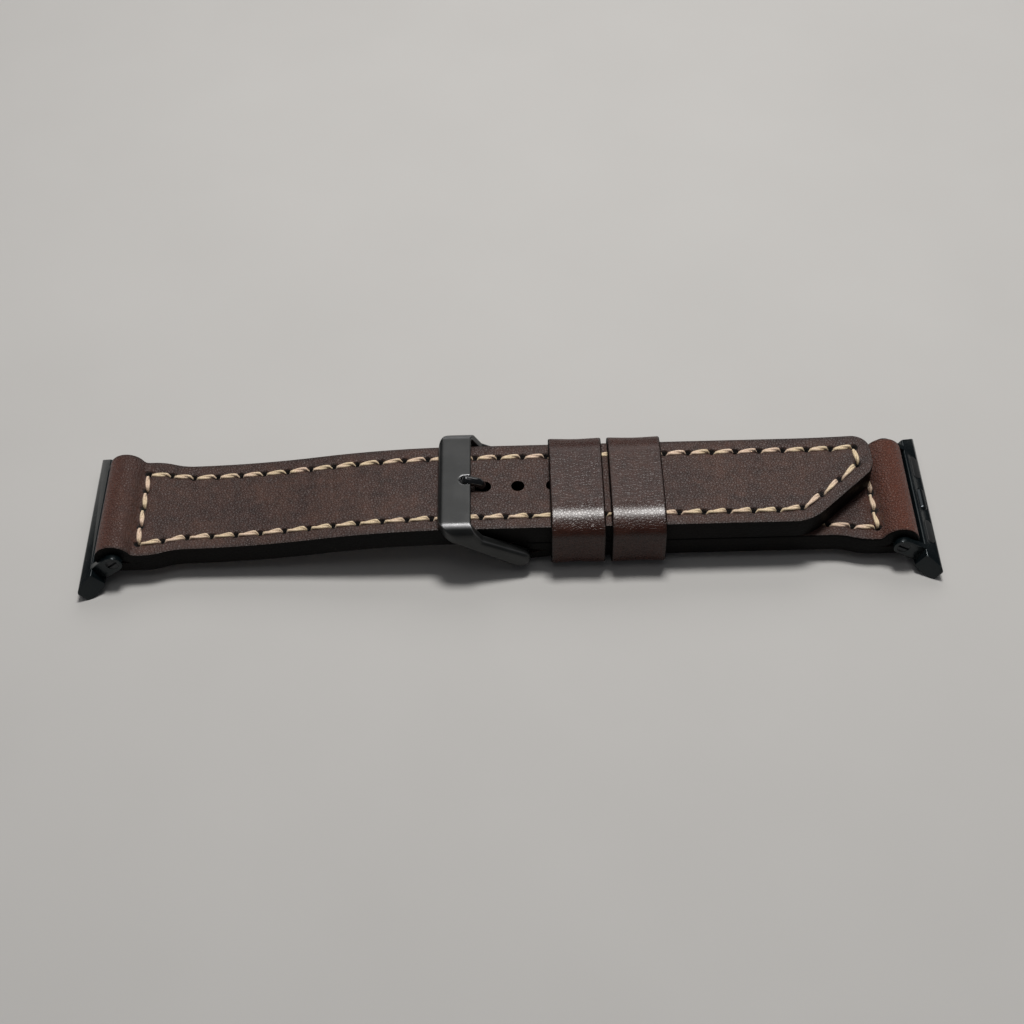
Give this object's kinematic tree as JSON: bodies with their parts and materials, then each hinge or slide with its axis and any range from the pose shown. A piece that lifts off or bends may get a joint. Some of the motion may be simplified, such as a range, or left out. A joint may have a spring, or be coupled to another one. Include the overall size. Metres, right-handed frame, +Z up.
{
  "type": "leather watch strap",
  "caption": "Buckled two-piece dark brown leather strap with light stitching, pin buckle, keepers and slide-in hinged adapters for a smart watch.",
  "frame": {"origin": "middle of the footprint on the table, at the height of the table", "axes": "+X along the strap from the tail's adapter to the buckle piece's adapter, +Y across it away from the front, +Z up"},
  "size_m": [0.14, 0.0286, 0.0118],
  "materials": {
    "top_leather": "dark brown pebbled leather, semi-matt",
    "lining_leather": "dark brown smooth lining leather",
    "keeper_leather": "dark brown smooth leather",
    "thread": "waxed cream thread",
    "buckle_metal": "satin grey-black coating",
    "tang_metal": "glossy black coating",
    "adapter_metal": "satin black anodised",
    "steel": "plain stainless steel",
    "screw_steel": "black coated steel",
    "pad_rubber": "matt black rubber",
    "catch_metal": "dark polished steel"
  },
  "bodies": {
    "strap": {"tail_top_leather": "top_leather", "tail_lining_leather": "lining_leather", "tail_stitching": "thread", "buckle_piece_top_leather": "top_leather", "buckle_piece_lining_leather": "lining_leather", "buckle_piece_stitching": "thread", "fixed_keeper": "keeper_leather", "bar_tube": "steel", "bar_spring": "steel"},
    "free_keeper": {"free_keeper": "keeper_leather"},
    "buckle_frame": {"buckle_frame": "buckle_metal"},
    "buckle_tang": {"buckle_tang": "tang_metal"},
    "bar_front_tip": {"bar_front_tip": "steel"},
    "bar_back_tip": {"bar_back_tip": "steel"},
    "left_adapter": {"left_lug_body": "adapter_metal", "left_front_pad": "pad_rubber", "left_back_pad": "pad_rubber", "left_catch_pin": "steel", "left_catch_spring": "steel", "left_cross_tube": "steel", "left_cross_screws": "screw_steel"},
    "left_catch": {"left_catch": "catch_metal"},
    "right_adapter": {"right_lug_body": "adapter_metal", "right_front_pad": "pad_rubber", "right_back_pad": "pad_rubber", "right_catch_pin": "steel", "right_catch_spring": "steel", "right_cross_tube": "steel", "right_cross_screws": "screw_steel"},
    "right_catch": {"right_catch": "catch_metal"}
  },
  "joints": [
    {"name": "left_adapter_hinge", "type": "hinge", "parent": "strap", "child": "left_adapter", "pos_m": [-0.06421, 0, 0.00513], "axis": [0, 1, 0], "range_deg": [-30, 110]},
    {"name": "right_adapter_hinge", "type": "hinge", "parent": "strap", "child": "right_adapter", "pos_m": [0.06379, 0, 0.00453], "axis": [0, -1, 0], "range_deg": [-38, 102]},
    {"name": "left_catch_press", "type": "slide", "parent": "left_adapter", "child": "left_catch", "axis": [-0.6391, 0, 0.7691], "range_m": [0, 0.0006], "stiffness_N_per_m": 400, "springref_m": -0.0004, "deforming": ["left_catch_spring"]},
    {"name": "right_catch_press", "type": "slide", "parent": "right_adapter", "child": "right_catch", "axis": [-0.5279, 0, -0.8493], "range_m": [0, 0.0006], "stiffness_N_per_m": 400, "springref_m": -0.0004, "deforming": ["right_catch_spring"]},
    {"name": "free_keeper_slide", "type": "slide", "parent": "strap", "child": "free_keeper", "axis": [1, 0, 0], "range_m": [0, 0.018]},
    {"name": "buckle_frame_hinge", "type": "hinge", "parent": "strap", "child": "buckle_frame", "pos_m": [0.00179, 0, 0.0031], "axis": [0, 1, 0], "range_deg": [0, 3]},
    {"name": "buckle_tang_hinge", "type": "hinge", "parent": "buckle_frame", "child": "buckle_tang", "pos_m": [0.00179, 0, 0.0031], "axis": [0, 1, 0], "range_deg": [0, 2]},
    {"name": "bar_front_tip_press", "type": "slide", "parent": "strap", "child": "bar_front_tip", "axis": [0, 1, 0], "range_m": [0, 0.00088], "stiffness_N_per_m": 500, "springref_m": -0.0008, "deforming": ["bar_spring"]},
    {"name": "bar_back_tip_press", "type": "slide", "parent": "strap", "child": "bar_back_tip", "axis": [0, -1, 0], "range_m": [0, 0.00088], "stiffness_N_per_m": 500, "springref_m": -0.0008, "deforming": ["bar_spring"]}
  ]
}
